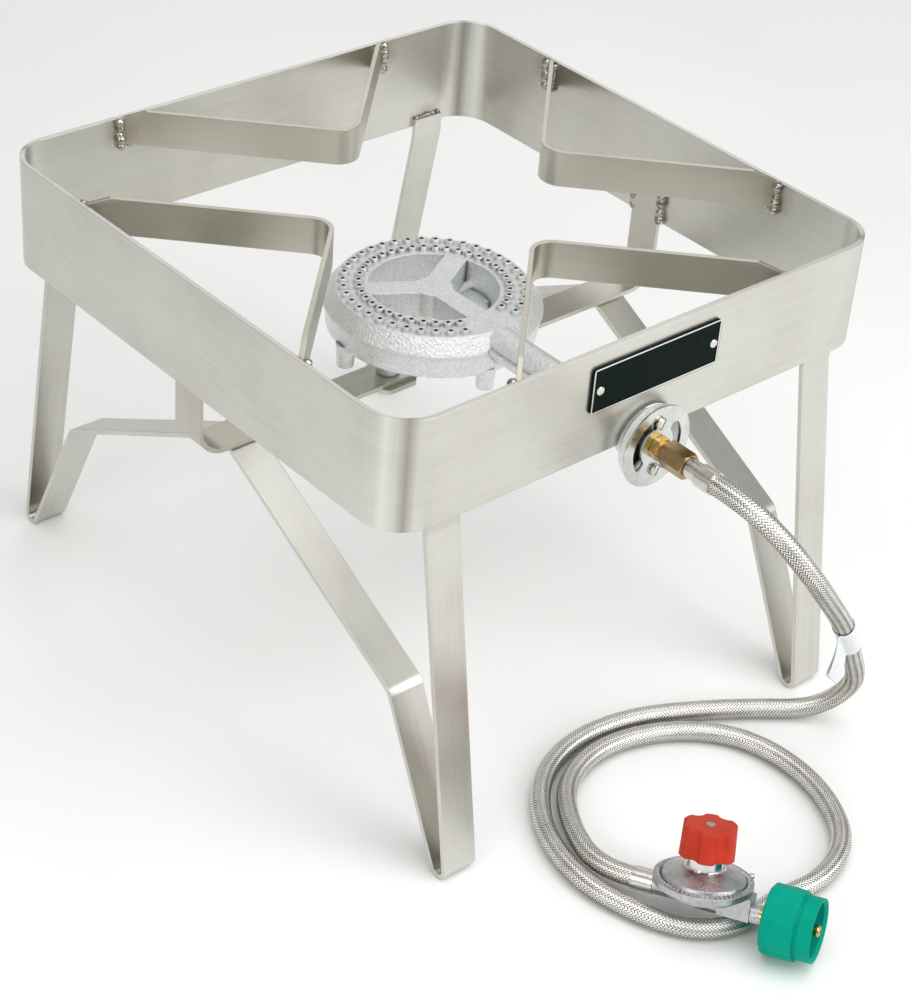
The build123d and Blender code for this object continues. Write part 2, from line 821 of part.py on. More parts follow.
def control_knob():
    """Knob with round lobes and a hollow underside that covers the neck."""
    outline = Circle(knob_radius)
    groove = Circle(knob_groove_radius)
    for index in range(knob_lobes):
        turn = knob_lobe_turn + (index + 0.5) * 360 / knob_lobes
        outline -= Rot(0, 0, turn) * Pos(knob_groove_reach, 0, 0) * groove
    outline = fillet(outline.vertices(), 2 * knob_edge)
    knob = Pos(0, 0, knob_bottom) * extrude(outline, knob_height, taper=knob_draft)
    knob = fillet(knob.edges().group_by(Axis.Z)[-1], knob_edge)
    knob -= rod(bonnet_neck_radius + knob_room_gap, knob_bottom, knob_room_top)
    return regulator_place * (knob - rod(adjusting_screw_radius + fit_gap, knob_room_top, knob_top))


def inlet_nipple():
    """Brass nipple that holds the coupling nut on the inlet boss."""
    shoulder_start = nut_back + nut_wall + end_gap
    shoulder_end = shoulder_start + nipple_shoulder_thickness
    nipple = rod(nipple_thread_radius, nipple_thread_start + end_gap, inlet_boss_end)
    nipple += rod(inlet_boss_radius, inlet_boss_end, shoulder_start)
    nipple += rod(nipple_shoulder_radius, shoulder_start, shoulder_end)
    nipple += hex_rod(nipple_hex_across, shoulder_end, nipple_hex_end)
    tip = rod(nipple_tip_radius, nipple_hex_end, nipple_end)
    nipple += fillet(tip.edges().group_by(Axis.Z)[-1], nipple_tip_radius / 2)
    return regulator_place * along_inlet * (nipple - rod(nipple_bore_radius, nipple_thread_start, nipple_end))


def coupling_nut():
    """Plastic hand nut that takes the gas cylinder valve."""
    grip = RegularPolygon(nut_grip_radius, nut_sides, major_radius=True, rotation=nut_flute_angle)
    grip -= PolarLocations(nut_flute_reach, nut_flutes, start_angle=nut_flute_angle) * Circle(nut_flute_radius)
    grip = fillet(grip.vertices(), nut_mouth_depth)
    nut = Pos(0, 0, nut_back) * extrude(grip, nut_grip_end - nut_back)
    nut = chamfer(nut.edges().group_by(Axis.Z)[0], nut_mouth_depth / 2)
    nut += rod(nut_collar_radius, nut_grip_end, nut_collar_end)
    nut += rod(nut_rim_radius, nut_collar_end, nut_face)
    nut -= rod(inlet_boss_radius + run_gap, nut_back, nut_face)
    nut -= turned([
        (0, nut_back + nut_wall),
        (nut_room_radius, nut_back + nut_wall),
        (nut_room_radius, nut_face - nut_mouth_depth),
        (nut_mouth_radius, nut_face),
        (0, nut_face),
    ])
    return regulator_place * along_inlet * nut


def name_plate():
    """Blank plate on the front band."""
    front = Plane((0, -frame_side / 2, plate_centre_height), x_dir=(1, 0, 0), z_dir=(0, -1, 0))
    plate = extrude(front * RectangleRounded(plate_length, plate_height, plate_corner), plate_thickness)
    return plate - front_holes(rivet_spread, plate_centre_height, rivet_radius + fit_gap)


def name_plate_rivets():
    """Two round head rivets through the plate and the band."""
    seat = frame_side / 2 + plate_thickness
    tail = band_inner_half - rivet_head_height
    rivet = rod(rivet_radius, tail, seat)
    rivet += rod(rivet_head_radius - rivet_head_height / 2, tail, band_inner_half)
    head = rod(rivet_head_radius, seat, seat + rivet_head_height)
    rivet += fillet(head.edges().group_by(Axis.Z)[-1], rivet_head_round)
    rise = plate_centre_height - burner_axis_height
    return Compound(children=[inlet_place * Pos(side * rivet_spread, rise, 0) * rivet for side in (-1, 1)])


support = pot_support()
nodes = {
    "frame_band": frame_band(),
    "pot_support_front": support,
    "pot_support_right": Rot(0, 0, 90) * support,
    "pot_support_back": Rot(0, 0, 180) * support,
    "pot_support_left": Rot(0, 0, 270) * support,
    "leg_bar_left": leg_bar(-1),
    "leg_bar_right": leg_bar(1),
    "burner_bracket": burner_bracket(),
    "burner_clamp_plates": burner_clamp_plates(),
    "burner_bolts": burner_bolts(),
    "burner": burner(),
    "air_shutter": air_shutter(),
    "shutter_screws": shutter_screws(),
    "orifice_fitting": orifice_fitting(),
    "hose_swivel_nut": hose_swivel_nut(),
    "burner_hose_ferrule": burner_hose_ferrule(),
    "braided_hose": braided_hose(),
    "hose_tag": hose_tag(),
    "regulator_hose_ferrule": regulator_hose_ferrule(),
    "regulator_body": regulator_body(),
    "regulator_bonnet": regulator_bonnet(),
    "diaphragm": diaphragm(),
    "valve_stem": valve_stem(),
    "adjusting_spring": adjusting_spring(),
    "spring_button": spring_button(),
    "adjusting_screw": adjusting_screw(),
    "control_knob": control_knob(),
    "inlet_nipple": inlet_nipple(),
    "coupling_nut": coupling_nut(),
    "name_plate": name_plate(),
    "name_plate_rivets": name_plate_rivets(),
}

os.makedirs("parts", exist_ok=True)
for name, solid in nodes.items():
    export_step(solid, f"parts/{name}.step")
    box = solid.bounding_box()
    low = [round(value, 1) for value in box.min]
    high = [round(value, 1) for value in box.max]
    print(name, len(solid.solids()), "solids", round(solid.volume), "mm3", low, high)
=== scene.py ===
import math
import random
import bpy
import numpy as np
from mathutils import Matrix, Vector


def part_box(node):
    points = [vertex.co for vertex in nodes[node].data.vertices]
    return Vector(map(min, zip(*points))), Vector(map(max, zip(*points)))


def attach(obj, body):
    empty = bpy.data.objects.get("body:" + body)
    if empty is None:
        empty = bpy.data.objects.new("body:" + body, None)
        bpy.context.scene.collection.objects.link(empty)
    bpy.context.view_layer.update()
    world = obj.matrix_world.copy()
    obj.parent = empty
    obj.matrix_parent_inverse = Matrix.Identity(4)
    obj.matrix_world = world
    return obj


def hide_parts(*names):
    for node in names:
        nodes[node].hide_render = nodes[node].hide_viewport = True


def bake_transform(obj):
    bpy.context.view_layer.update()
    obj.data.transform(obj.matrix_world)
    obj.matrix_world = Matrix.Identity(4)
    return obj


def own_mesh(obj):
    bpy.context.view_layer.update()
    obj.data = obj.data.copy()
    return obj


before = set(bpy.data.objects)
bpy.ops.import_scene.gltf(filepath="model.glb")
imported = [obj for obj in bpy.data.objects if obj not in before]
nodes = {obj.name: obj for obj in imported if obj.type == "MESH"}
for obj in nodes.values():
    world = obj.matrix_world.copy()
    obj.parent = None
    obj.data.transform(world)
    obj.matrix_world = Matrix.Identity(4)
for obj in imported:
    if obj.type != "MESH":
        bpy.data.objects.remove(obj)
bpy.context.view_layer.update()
bpy.ops.object.select_all(action="DESELECT")
scene = bpy.context.scene
scene.view_settings.view_transform = "Standard"
print("frame loaded with", len(nodes), "nodes")

# camera where the photographer stood
camera = {
    "place": (-0.935454, -1.028224, 1.054743),
    "turn": (55.068, -3.9785, -40.601),
    "lens": 86.376, "sensor": 36,
}
lens = bpy.data.cameras.new("photoCamera")
lens.lens = camera["lens"]
lens.sensor_width = camera["sensor"]
cameraObject = bpy.data.objects.new("photoCamera", lens)
cameraObject.location = camera["place"]
cameraObject.rotation_euler = [math.radians(angle) for angle in camera["turn"]]
scene.collection.objects.link(cameraObject)
scene.camera = cameraObject
print("camera set")


class Shade:
    # wraps a socket, so that shader sums read as plain sums
    def __init__(self, tree, socket=None):
        self.tree = tree
        self.socket = socket

    def node(self, kind, settings=None, inputs=None, out=0):
        made = self.tree.nodes.new("ShaderNode" + kind)
        for key, value in (settings or {}).items():
            if key == "stops":
                self.setStops(made.color_ramp.elements, value)
            else:
                setattr(made, key, value)
        for key, value in (inputs or {}).items():
            self.feed(made.inputs[key], value)
        return Shade(self.tree, made.outputs[out])

    def setStops(self, elements, stops):
        for place, colour in stops[1:-1]:
            elements.new(place).color = (*colour, 1)
        for element, (place, colour) in ((elements[0], stops[0]), (elements[-1], stops[-1])):
            element.position = place
            element.color = (*colour, 1)

    def feed(self, socket, value):
        if isinstance(value, Shade):
            self.tree.links.new(value.socket, socket)
        elif socket.type == "RGBA":
            socket.default_value = (*value, 1)
        else:
            socket.default_value = value

    def maths(self, operation, first, second=0.0):
        return self.node("Math", {"operation": operation}, {0: first, 1: second})

    def __add__(self, other):
        return self.maths("ADD", self, other)

    def __sub__(self, other):
        return self.maths("SUBTRACT", self, other)

    def __rsub__(self, other):
        return self.maths("SUBTRACT", other, self)

    def __mul__(self, other):
        return self.maths("MULTIPLY", self, other)

    def __gt__(self, other):
        return self.maths("GREATER_THAN", self, other)

    def __lt__(self, other):
        return self.maths("LESS_THAN", self, other)

    def __abs__(self):
        return self.maths("ABSOLUTE", self)

    __radd__ = __add__

    def mix(self, first, second):
        return self.node("Mix", {"data_type": "RGBA"}, {0: self, 6: first, 7: second}, 2)

    def ramp(self, *stops):
        return self.node("ValToRGB", {"stops": stops}, {0: self})

    def between(self, low, high, first=0.0, last=1.0):
        limits = {"From Min": low, "From Max": high, "To Min": first, "To Max": last}
        return self.node("MapRange", None, {"Value": self, **limits})


def startMaterial(name, fixed):
    material = bpy.data.materials.new(name)
    material.use_nodes = True
    shader = material.node_tree.nodes["Principled BSDF"]
    for key, value in fixed.items():
        shader.inputs[key].default_value = value
    return material, Shade(material.node_tree), shader


def endMaterial(shade, shader, colour, rough, height, depth, edge=0.0):
    shade.feed(shader.inputs["Base Color"], colour)
    shade.feed(shader.inputs["Roughness"], rough)
    bump = {"Height": height, "Strength": 1.0, "Distance": depth}
    if edge:  # soft edges on the solids
        bump["Normal"] = shade.node("Bevel", {"samples": 6}, {"Radius": edge})
    shade.feed(shader.inputs["Normal"], shade.node("Bump", None, bump))


def noise(shade, scale, detail=3.0, rough=0.55, stretch=None):
    place = shade.node("TexCoord", out="Object")
    if stretch:
        place = shade.node("Mapping", None, {"Vector": place, "Scale": stretch})
    wanted = {"Vector": place, "Scale": scale, "Detail": detail, "Roughness": rough}
    return shade.node("TexNoise", None, wanted)


def axes(shade):
    place = shade.node("TexCoord", out="Object")
    return [shade.node("SeparateXYZ", None, {0: place}, index) for index in range(3)]


def distance(shade, place, spot):
    return shade.node("VectorMath", {"operation": "DISTANCE"}, {0: place, 1: spot}, "Value")


def dress(material, *names):
    for name in names:
        for slot in nodes[name].material_slots:
            slot.material = material


# brushed flat bar: fine lines along the bar, a satin cloud over them, straw colour round the welds,
# a painted highlight band and a painted dark reflection band at each bent corner, and darker copies
# as painted shade for the supports and the bracket
steel = {
    "dark": (0.51, 0.50, 0.455), "mid": (0.63, 0.62, 0.57), "light": (0.70, 0.695, 0.65),
    "stops": (0.30, 0.5, 0.70),
    # painted shade: darker copies of the steel for the supports and the bracket
    "supportShade": (0.85, 0.825, 0.78), "bracketShade": (0.88, 0.87, 0.84),
    "rough": 0.2, "edge": 0.0006, "depth": 0.000016,
    "across": 2400, "along": 20, "streak": 7, "cloud": 13.0, "grain": 0.4, "grainTurn": 0.25,
    "outerFace": 0.2032, "innerFace": 0.2016,
    "weldSpots": ((0.1148, 0.1988, 0.319), (0.1988, 0.1148, 0.319), (0.161, 0.1988, 0.256)),
    "straw": (0.36, 0.28, 0.19), "strawReach": (0.010, 0.022), "strawShare": 0.55,
    "strawBreak": 0.012, "bend": 0.0295, "bendFade": 0.002,
    # painted reflection: a highlight band and a dark band at the bent corners
    "bendReflectionBands": (
        {"middle": -0.0109, "reach": 0.0074, "strength": 0.35, "colour": (0.92, 0.92, 0.89)},
        {"middle": 0.0072, "reach": 0.0088, "strength": 0.75, "colour": (0.26, 0.25, 0.22)},
    ),
}


def weldTint(shade, colour):
    x, y, z = axes(shade)
    # folded, so that one spot serves four corners
    folded = shade.node("CombineXYZ", None, {0: abs(x), 1: abs(y), 2: z})
    first, second, third = [distance(shade, folded, spot) for spot in steel["weldSpots"]]
    near = shade.maths("MINIMUM", shade.maths("MINIMUM", first, second), third)
    reach = near + noise(shade, 160.0) * steel["strawBreak"]
    inside = shade.maths("MAXIMUM", abs(x), abs(y)) < steel["innerFace"]
    share = reach.between(*steel["strawReach"], steel["strawShare"], 0.0) * inside
    return share.mix(colour, steel["straw"])


# painted reflection at the bent corners: a painted highlight band beside a painted dark band
def paintedBendReflection(shade, colour):
    x, y = axes(shade)[:2]
    least = shade.maths("MINIMUM", abs(x), abs(y))
    start = steel["outerFace"] - steel["bend"]
    inBend = least.between(start - steel["bendFade"], start + steel["bendFade"])
    for band in steel["bendReflectionBands"]:
        away = abs(abs(y) - abs(x) - band["middle"])
        share = away.between(0.0, band["reach"], band["strength"], 0.0) * inBend
        colour = share.mix(colour, band["colour"])
    return colour


def brushedSteel(name, acrossAxis, turn=0.0, welded=False, grain=0.0, paintedShade=(1, 1, 1)):
    material, shade, shader = startMaterial(name, {
        "Metallic": 1.0, "Anisotropic": grain, "Anisotropic Rotation": turn})
    stretch = [steel["along"]] * 3
    stretch[acrossAxis] = steel["across"]
    lines = noise(shade, 1.0, 3.0, 0.6, stretch)
    streaks = noise(shade, 1.0, 2.0, 0.5, [value / steel["streak"] for value in stretch])
    cloud = noise(shade, steel["cloud"], 3.0, 0.55)
    tone = lines * 0.34 + streaks * 0.14 + cloud * 0.52
    tones = [[value * part for value, part in zip(steel[key], paintedShade)]
             for key in ("dark", "mid", "light")]
    colour = tone.ramp(*zip(steel["stops"], tones))
    if welded:
        colour = weldTint(shade, paintedBendReflection(shade, colour))
    rough = steel["rough"] + lines * 0.1 + cloud * 0.14
    endMaterial(shade, shader, colour, rough, lines + streaks * 0.3, steel["depth"], steel["edge"])
    return material


bentBar = {"acrossAxis": 2, "turn": steel["grainTurn"], "welded": True, "grain": steel["grain"]}
dress(brushedSteel("bandSteel", **bentBar), "frame_band")
# painted shade: the supports take a darker, warmer copy of the band's steel
dress(brushedSteel("supportSteel", **bentBar, paintedShade=steel["supportShade"]),
      "pot_support_front", "pot_support_right", "pot_support_back", "pot_support_left")
dress(brushedSteel("legSteel", 0), "leg_bar_left", "leg_bar_right")
# painted shade: the bracket takes a darker copy of the bar steel
dress(brushedSteel("bracketSteel", 1, paintedShade=steel["bracketShade"]),
      "burner_bracket", "burner_clamp_plates")
print("bars brushed")

# sand cast aluminium, pale and grainy, with painted shade in its ports, inside its bell and in the
# crevices round its bosses
casting = {
    "dark": (0.67, 0.69, 0.69), "light": (0.88, 0.90, 0.895), "hollow": (0.010, 0.010, 0.011),
    "edge": 0.0012, "depth": 0.0005, "portReach": 0.0035, "bellReach": 0.03,
    "portShade": (0.32, 0.62), "bellShade": (0.04, 0.3), "rimShade": (0.55, 0.9, 0.6, 1.0),
}


def castAluminium(name):
    material, shade, shader = startMaterial(name, {"Metallic": 0.85})
    place = shade.node("TexCoord", out="Object")
    ports, bell = [
        shade.node("AmbientOcclusion", {"samples": 6}, {"Distance": casting[reach]}, "AO")
        for reach in ("portReach", "bellReach")]
    sand = noise(shade, 850.0, 4.0, 0.7)
    pits = shade.node("TexVoronoi", None, {"Vector": place, "Scale": 480.0})
    patch = noise(shade, 45.0, 3.0, 0.6)
    tone = sand * 0.55 + pits * 0.3 + patch * 0.15
    skin = tone.ramp((0.25, casting["dark"]), (0.58, casting["light"]))
    # painted shade from ambient occlusion: ports, bell and boss crevices go towards the hollow
    # shade colour
    lit = ports.between(*casting["portShade"]) * bell.between(*casting["bellShade"])
    lit = lit * ports.between(*casting["rimShade"])
    endMaterial(shade, shader, lit.mix(casting["hollow"], skin), 0.27 + sand * 0.25,
                sand + pits * 0.7, casting["depth"], casting["edge"])
    return material


dress(castAluminium("burnerCasting"), "burner")

# plated and machined metals: worn to bright colour, roughness, grain size and grain depth
plated = {
    "zincBright": {
        "worn": (0.50, 0.53, 0.52), "bright": (0.74, 0.75, 0.72),
        "rough": 0.14, "grain": 900.0, "depth": 0.00006},
    "brassBright": {
        "worn": (0.50, 0.31, 0.09), "bright": (0.80, 0.56, 0.20),
        "rough": 0.12, "grain": 1400.0, "depth": 0.00004},
    "brassBrown": {
        "worn": (0.23, 0.155, 0.075), "bright": (0.46, 0.33, 0.17),
        "rough": 0.18, "grain": 1400.0, "depth": 0.00004},
    "nickelBright": {
        "worn": (0.56, 0.54, 0.49), "bright": (0.80, 0.78, 0.73),
        "rough": 0.16, "grain": 1200.0, "depth": 0.00003},
    "weldBright": {
        "worn": (0.13, 0.115, 0.095), "bright": (0.66, 0.64, 0.60),
        "rough": 0.06, "grain": 700.0, "depth": 0.0001},
    "innerSteel": {
        "worn": (0.42, 0.42, 0.42), "bright": (0.7, 0.7, 0.69),
        "rough": 0.2, "grain": 900.0, "depth": 0.00004},
}


def platedMetal(name, worn, bright, rough, grain, depth, edge=0.0003):
    material, shade, shader = startMaterial(name, {"Metallic": 1.0})
    cloud = noise(shade, 120.0, 4.0, 0.65)
    fine = noise(shade, grain, 3.0, 0.6)
    tone = cloud * 0.65 + fine * 0.35
    colour = tone.ramp((0.3, worn), (0.65, bright))
    endMaterial(shade, shader, colour, rough + cloud * 0.16, fine, depth, edge)
    return material


metals = {name: platedMetal(name, **look) for name, look in plated.items()}
dress(metals["zincBright"], "air_shutter", "burner_bolts")
dress(metals["brassBright"], "orifice_fitting", "inlet_nipple")
dress(metals["brassBrown"], "hose_swivel_nut")
dress(metals["nickelBright"], "burner_hose_ferrule", "regulator_hose_ferrule",
      "name_plate_rivets", "shutter_screws")
dress(metals["innerSteel"], "valve_stem", "spring_button", "adjusting_screw")

# regulator: its own axes, with the inlet along "inlet" and the knob along "upright"
regulator = {
    "centre": Vector((-0.0669, -0.3591, 0.0173)),
    "inlet": Vector((0.416756, -0.901942, 0.113203)),
    "side": Vector((0.880041, 0.369137, -0.298773)),
    "upright": Vector((0.227688, 0.224139, 0.947586)),
    "neckStart": 0.0222, "neckFade": 0.0006, "depth": 0.0003, "edge": 0.0007,
    "dark": (0.36, 0.365, 0.38), "light": (0.66, 0.665, 0.68), "neck": (0.70, 0.70, 0.70),
}


def dieCasting(name):
    material, shade, shader = startMaterial(name, {"Metallic": 1.0})
    pair = {0: shade.node("TexCoord", out="Object"), 1: regulator["centre"]}
    centred = shade.node("VectorMath", {"operation": "SUBTRACT"}, pair)
    pair = {0: centred, 1: regulator["upright"]}
    level = shade.node("VectorMath", {"operation": "DOT_PRODUCT"}, pair, "Value")
    start = regulator["neckStart"]
    machined = level.between(start, start + regulator["neckFade"])
    cloud = noise(shade, 110.0, 4.0, 0.65)
    sand = noise(shade, 650.0, 3.0, 0.6)
    tone = cloud * 0.6 + sand * 0.4
    cast = tone.ramp((0.32, regulator["dark"]), (0.66, regulator["light"]))
    rough = 0.26 + cloud * 0.2 - machined * 0.2
    endMaterial(shade, shader, machined.mix(cast, regulator["neck"]), rough,
                sand - sand * machined, regulator["depth"], regulator["edge"])
    return material


regulatorCasting = dieCasting("regulatorCasting")
dress(regulatorCasting, "regulator_body", "regulator_bonnet")

# moulded plastic and rubber: faint flow marks, fine skin texture
moulded = {
    "nutGreen": {
        "deep": (0.0, 0.315, 0.22), "bright": (0.0, 0.375, 0.27),
        "rough": 0.45, "edge": 0.0008, "gloss": 0.06},
    "knobRed": {
        "deep": (0.50, 0.034, 0.015), "bright": (0.58, 0.047, 0.021),
        "rough": 0.4, "edge": 0.0010, "gloss": 0.16},
    "diaphragmRubber": {
        "deep": (0.015, 0.015, 0.015), "bright": (0.03, 0.03, 0.03), "rough": 0.6},
    "hoseRubber": {
        "deep": (0.03, 0.028, 0.024), "bright": (0.05, 0.047, 0.04), "rough": 0.5},
}


def mouldedPlastic(name, deep, bright, rough, edge=0.0, gloss=0.2):
    material, shade, shader = startMaterial(name, {"Specular IOR Level": gloss})
    flow = noise(shade, 60.0, 3.0, 0.5)
    skin = noise(shade, 2200.0, 2.0, 0.5)
    colour = flow.ramp((0.3, deep), (0.7, bright))
    endMaterial(shade, shader, colour, rough + skin * 0.12, skin, 0.00003, edge)
    return material


plastics = {name: mouldedPlastic(name, **look) for name, look in moulded.items()}
dress(plastics["knobRed"], "control_knob")
dress(plastics["nutGreen"], "coupling_nut")

# black plate with a bare metal border round its face
plate = {
    "border": 0.0013, "inset": 0.0003, "skin": 0.0002, "depth": 0.0002, "gloss": 0.025,
    "black": (0.003, 0.008, 0.007), "worn": (0.008, 0.015, 0.0135), "silver": (0.80, 0.80, 0.78),
}


def plateBlack():
    low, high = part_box("name_plate")
    half, middle = (high - low) / 2, (high + low) / 2
    material, shade, shader = startMaterial("plateBlack", {"Specular IOR Level": plate["gloss"]})
    x, y, z = axes(shade)
    sideGap = half.x - abs(x - middle.x)
    topGap = half.z - abs(z - middle.z)
    gap = shade.maths("MINIMUM", sideGap, topGap)
    line = (gap < plate["border"]) * (gap > plate["inset"]) * (y < low.y + plate["skin"])
    speck = noise(shade, 500.0, 4.0, 0.6)
    black = speck.ramp((0.35, plate["black"]), (0.75, plate["worn"]))
    shade.feed(shader.inputs["Metallic"], line)
    endMaterial(shade, shader, line.mix(black, plate["silver"]), 0.3 + speck * 0.12,
                line + speck * 0.05, plate["depth"])
    return material


dress(plateBlack(), "name_plate")
print("solids dressed")


# modelling by hand: choose a piece, shape it, put its place into its mesh
def only(piece):
    bpy.ops.object.select_all(action="DESELECT")
    piece.select_set(True)
    bpy.context.view_layer.objects.active = piece


def applied(piece, kind, **settings):
    only(piece)
    modifier = piece.modifiers.new(kind, kind)
    for key, value in settings.items():
        setattr(modifier, key, value)
    bpy.ops.object.modifier_apply(modifier=modifier.name)


def placeInMesh(piece, matrix=None):
    only(piece)
    if matrix:
        piece.matrix_world = matrix @ piece.matrix_world
    bpy.ops.object.transform_apply(location=True, rotation=True, scale=True)


def closeUp(piece, angle=40.0):
    only(piece)
    bpy.ops.object.mode_set(mode="EDIT")
    bpy.ops.mesh.select_all(action="SELECT")
    bpy.ops.mesh.remove_doubles(threshold=0.000001)
    bpy.ops.mesh.fill_holes(sides=0)
    bpy.ops.mesh.normals_make_consistent(inside=False)
    bpy.ops.object.mode_set(mode="OBJECT")
    bpy.ops.object.shade_smooth_by_angle(angle=math.radians(angle))


def finishPiece(piece, name, body, material):
    piece.name = piece.data.name = name
    piece.data.materials.clear()
    piece.data.materials.append(material)
    if body:
        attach(piece, body)
    return piece


# weld beads where the bars meet the band: lumps in a row, run together
weld = {
    "lump": 0.0034, "step": 0.0046, "jitter": 0.0006, "uneven": (0.8, 1.2), "voxel": 0.0004,
    "seed": 11, "legLump": 0.0018,
    "support": (0.1146, 0.1986), "supportLevels": (0.3090, 0.3262),
    "inside": (0.1068, 0.1988), "insideLevels": (0.3080, 0.3255), "insideLump": 0.0021,
    "tab": (0.1984, 0.0131), "tabLevels": (0.2560, 0.2815),
    "legTop": (0.1988, 0.2593), "legSpan": (0.1500, 0.1718),
}


def beadLines():
    lines = []
    for quarter in range(4):
        turn = Matrix.Rotation(quarter * math.pi / 2, 3, "Z")
        for side in (-1, 1):
            for key, lump in (("support", "lump"), ("inside", "insideLump")):
                x, y = side * weld[key][0], -weld[key][1]
                ends = [turn @ Vector((x, y, level)) for level in weld[key + "Levels"]]
                lines.append([weld[lump], *ends])
    for side in (-1, 1):
        for end in (-1, 1):
            x, y = side * weld["tab"][0], end * weld["tab"][1]
            lines.append([weld["lump"], *[Vector((x, y, level)) for level in weld["tabLevels"]]])
            y, z = end * weld["legTop"][0], weld["legTop"][1]
            lines.append([weld["legLump"], *[Vector((side * x, y, z)) for x in weld["legSpan"]]])
    return lines


def weldBeads():
    draw = random.Random(weld["seed"])
    start = beadLines()[0][1]
    bpy.ops.object.select_all(action="DESELECT")
    bpy.ops.mesh.primitive_ico_sphere_add(subdivisions=2, radius=weld["lump"], location=start)
    piece = bpy.context.object
    placeInMesh(piece)
    bpy.ops.object.mode_set(mode="EDIT")
    for lump, first, last in beadLines():
        count = max(3, round((last - first).length / weld["step"] * weld["lump"] / lump))
        for index in range(count + 1):
            spot = first.lerp(last, index / count)
            spot = spot + Vector([draw.uniform(-1, 1) * weld["jitter"] for axis in range(3)])
            size = lump * draw.uniform(*weld["uneven"])
            bpy.ops.mesh.primitive_ico_sphere_add(subdivisions=2, radius=size, location=spot)
    bpy.ops.object.mode_set(mode="OBJECT")
    applied(piece, "REMESH", mode="VOXEL", voxel_size=weld["voxel"])
    applied(piece, "SMOOTH", factor=0.5, iterations=2)
    bpy.ops.object.shade_smooth()
    return finishPiece(piece, "weldBeads", "stove", metals["weldBright"])


weldBeads()
print("welds laid")


# small pieces of the regulator, modelled upright at the origin and then carried to its place
def regulatorPlace(*ways):
    place = Matrix([regulator[way] for way in ways]).transposed().to_4x4()
    place.translation = regulator["centre"]
    return place


uprightPlace = regulatorPlace("inlet", "side", "upright")
inletPlace = regulatorPlace("side", "upright", "inlet")
rim = {
    "notches": 58, "reach": 0.0284, "level": 0.0151, "size": (0.0022, 0.0017, 0.0011),
    "edge": 0.0003,
}


def rimNotches():
    bpy.ops.object.select_all(action="DESELECT")
    place = (rim["reach"], 0, rim["level"])
    bpy.ops.mesh.primitive_cube_add(size=1, location=place, scale=rim["size"])
    piece = bpy.context.object
    placeInMesh(piece)
    applied(piece, "BEVEL", width=rim["edge"], segments=2)
    bpy.ops.object.mode_set(mode="EDIT")
    bpy.ops.mesh.select_all(action="SELECT")
    copies = rim["notches"] - 1
    bpy.ops.mesh.spin(steps=copies, dupli=True, angle=2 * math.pi / rim["notches"] * copies,
                      center=(0, 0, 0), axis=(0, 0, 1))
    bpy.ops.object.mode_set(mode="OBJECT")
    placeInMesh(piece, uprightPlace)
    closeUp(piece)
    return finishPiece(piece, "rimNotches", "stove", regulatorCasting)


# coil or thread: a small ring wound up round the upright axis
def wound(coil):
    bpy.ops.object.select_all(action="DESELECT")
    bpy.ops.mesh.primitive_circle_add(
        vertices=coil["sides"], radius=coil["wire"], location=(coil["reach"], 0, coil["start"]),
        rotation=(math.pi / 2, 0, 0))
    piece = bpy.context.object
    placeInMesh(piece)
    applied(piece, "SCREW", axis="Z", screw_offset=coil["rise"], iterations=coil["turns"],
            steps=coil["steps"], render_steps=coil["steps"])
    return piece


spring = {
    "sides": 10, "wire": 0.0008, "reach": 0.0069, "start": 0.0151, "rise": 0.00198, "turns": 4,
    "steps": 40, "foot": 0.0142, "keep": 0.567,
}
nutThread = {
    "sides": 4, "wire": 0.0008, "reach": 0.0177, "start": 0.0510, "rise": 0.0026, "turns": 6,
    "steps": 60,
}


def adjustingCoil():
    piece = wound(spring)
    placeInMesh(piece, uprightPlace)
    closeUp(piece, 60.0)
    finishPiece(piece, "adjustingCoil", "stove", metals["innerSteel"])
    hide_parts("adjusting_spring")
    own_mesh(piece)
    return piece


def couplingThread():
    piece = wound(nutThread)
    placeInMesh(piece, inletPlace)
    closeUp(piece, 30.0)
    return finishPiece(piece, "couplingThread", "coupling", plastics["nutGreen"])


# rubber sheet, turned from its profile as one fixed piece that does not follow the valve (profile
# in mm)
sheet = {
    "seat": 0.0120, "steps": 72, "rim": 0.00036, "middle": 0.00044,
    "profile": [(1.9, 0.46), (19.0, 0.46), (22.4, 0.04), (28.2, 0.04),
                (28.2, 0.34), (22.9, 0.34), (19.6, 0.78), (1.9, 0.78)],
}


def diaphragmSheet():
    bpy.ops.object.select_all(action="DESELECT")
    bpy.ops.mesh.primitive_circle_add(vertices=len(sheet["profile"]))
    piece = bpy.context.object
    for vertex, (reach, level) in zip(piece.data.vertices, sheet["profile"]):
        vertex.co = (reach / 1000, 0, sheet["seat"] + level / 1000)
    applied(piece, "SCREW", axis="Z", screw_offset=0, iterations=1, steps=sheet["steps"],
            render_steps=sheet["steps"], use_merge_vertices=True)
    placeInMesh(piece, uprightPlace)
    closeUp(piece)
    finishPiece(piece, "diaphragmSheet", None, plastics["diaphragmRubber"])
    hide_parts("diaphragm")
    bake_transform(piece)
    return piece


regulatorPieces = [rimNotches(), adjustingCoil(), couplingThread(), diaphragmSheet()]
print("regulator detailed")

